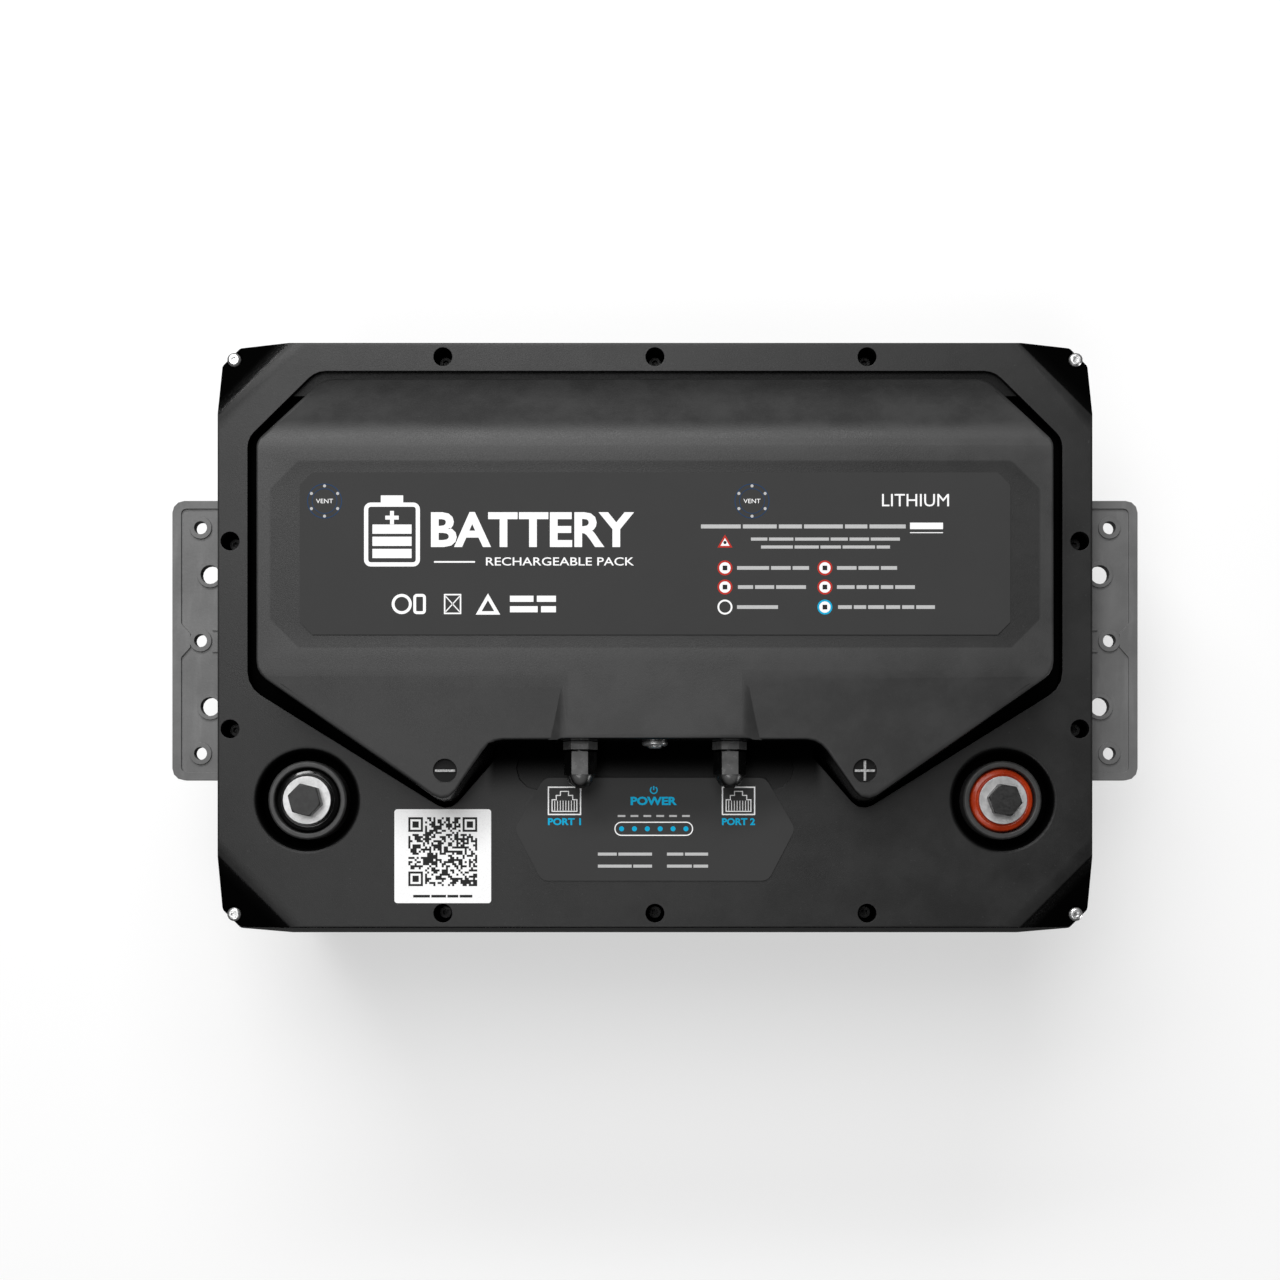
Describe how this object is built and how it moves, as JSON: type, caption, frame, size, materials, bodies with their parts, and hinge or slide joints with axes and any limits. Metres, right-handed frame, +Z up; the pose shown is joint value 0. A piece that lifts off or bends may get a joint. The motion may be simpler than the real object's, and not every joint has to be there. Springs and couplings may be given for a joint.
{
  "type": "lithium battery pack",
  "caption": "Rectangular black lithium battery pack with a stepped lid, two bolted terminals, glanded data ports, a power button and side mounting ears.",
  "frame": {"origin": "centre of the pack's footprint, on the face it stands on", "axes": "+X along the long side, towards the positive terminal; +Y to the back, away from the ports; +Z up"},
  "size_m": [0.5714, 0.3446, 0.204],
  "materials": {
    "lid_plastic": "fine-textured black moulding",
    "tub_plastic": "black moulding",
    "seal_rubber": "matt black",
    "cast_ear": "grey paint over a cast surface",
    "red_insulator": "semi-gloss orange red",
    "black_insulator": "semi-gloss black",
    "brass_post": "machined",
    "zinc_washer": "zinc plated",
    "dark_steel": "black oxide",
    "stainless": "fine brushed",
    "label_film": "printed polycarbonate film",
    "blue_lens": "blue light guide",
    "gland_nylon": "black nylon",
    "circuit_board": "green laminate",
    "cell_wrap": "blue film over an aluminium can",
    "bare_aluminium": "plain"
  },
  "bodies": {
    "pack": {"lower_case": "tub_plastic", "lid": "lid_plastic", "lid_gasket": "seal_rubber", "mounting_ear_left": "cast_ear", "mounting_ear_right": "cast_ear", "power_button_bezel": "stainless", "port_board": "circuit_board", "busbar_carrier": "circuit_board", "main_label": "label_film", "panel_label": "label_film", "light_bar": "blue_lens", "cell_clamp": "bare_aluminium", "battery_manager": "bare_aluminium", "terminal_insulator_negative": "black_insulator", "terminal_insulator_positive": "red_insulator", "terminal_collar_negative": "lid_plastic", "terminal_post_negative": "brass_post", "terminal_washer_negative": "zinc_washer", "terminal_collar_positive": "lid_plastic", "terminal_post_positive": "brass_post", "terminal_washer_positive": "zinc_washer", "gland_body_1": "gland_nylon", "gland_plug_1": "seal_rubber", "gland_body_2": "gland_nylon", "gland_plug_2": "seal_rubber", "rim_screw_01": "dark_steel", "rim_screw_02": "dark_steel", "rim_screw_03": "dark_steel", "rim_screw_04": "dark_steel", "rim_screw_05": "dark_steel", "rim_screw_06": "dark_steel", "rim_screw_07": "dark_steel", "rim_screw_08": "dark_steel", "rim_screw_09": "dark_steel", "rim_screw_10": "dark_steel", "corner_screw_front_left": "stainless", "corner_screw_front_right": "stainless", "corner_screw_back_left": "stainless", "corner_screw_back_right": "stainless", "cell_01": "cell_wrap", "cell_02": "cell_wrap", "cell_03": "cell_wrap", "cell_04": "cell_wrap", "cell_05": "cell_wrap", "cell_06": "cell_wrap", "cell_07": "cell_wrap", "cell_08": "cell_wrap", "cell_09": "cell_wrap", "cell_10": "cell_wrap", "cell_11": "cell_wrap", "cell_12": "cell_wrap", "cell_13": "cell_wrap", "cell_14": "cell_wrap", "cell_15": "cell_wrap", "cell_16": "cell_wrap"},
    "power_button": {"power_button_cap": "stainless"},
    "gland_nut_left": {"gland_nut_1": "gland_nylon"},
    "gland_nut_right": {"gland_nut_2": "gland_nylon"},
    "bolt_negative": {"terminal_bolt_negative": "dark_steel"},
    "bolt_positive": {"terminal_bolt_positive": "dark_steel"}
  },
  "joints": [
    {"name": "power_button_press", "type": "slide", "parent": "pack", "child": "power_button", "axis": [0, 1, 0], "range_m": [0, 0.0012], "stiffness_N_per_m": 400, "springref_m": -0.001},
    {"name": "gland_nut_left_turn", "type": "hinge", "parent": "pack", "child": "gland_nut_left", "pos_m": [-0.0422, -0.062, 0.184], "axis": [0, -1, 0], "continuous": true},
    {"name": "gland_nut_right_turn", "type": "hinge", "parent": "pack", "child": "gland_nut_right", "pos_m": [0.0422, -0.062, 0.184], "axis": [0, -1, 0], "continuous": true},
    {"name": "bolt_negative_turn", "type": "hinge", "parent": "pack", "child": "bolt_negative", "pos_m": [-0.2002, -0.095, 0.172], "axis": [0, 0, 1], "continuous": true},
    {"name": "bolt_positive_turn", "type": "hinge", "parent": "pack", "child": "bolt_positive", "pos_m": [0.2002, -0.095, 0.172], "axis": [0, 0, 1], "continuous": true}
  ]
}
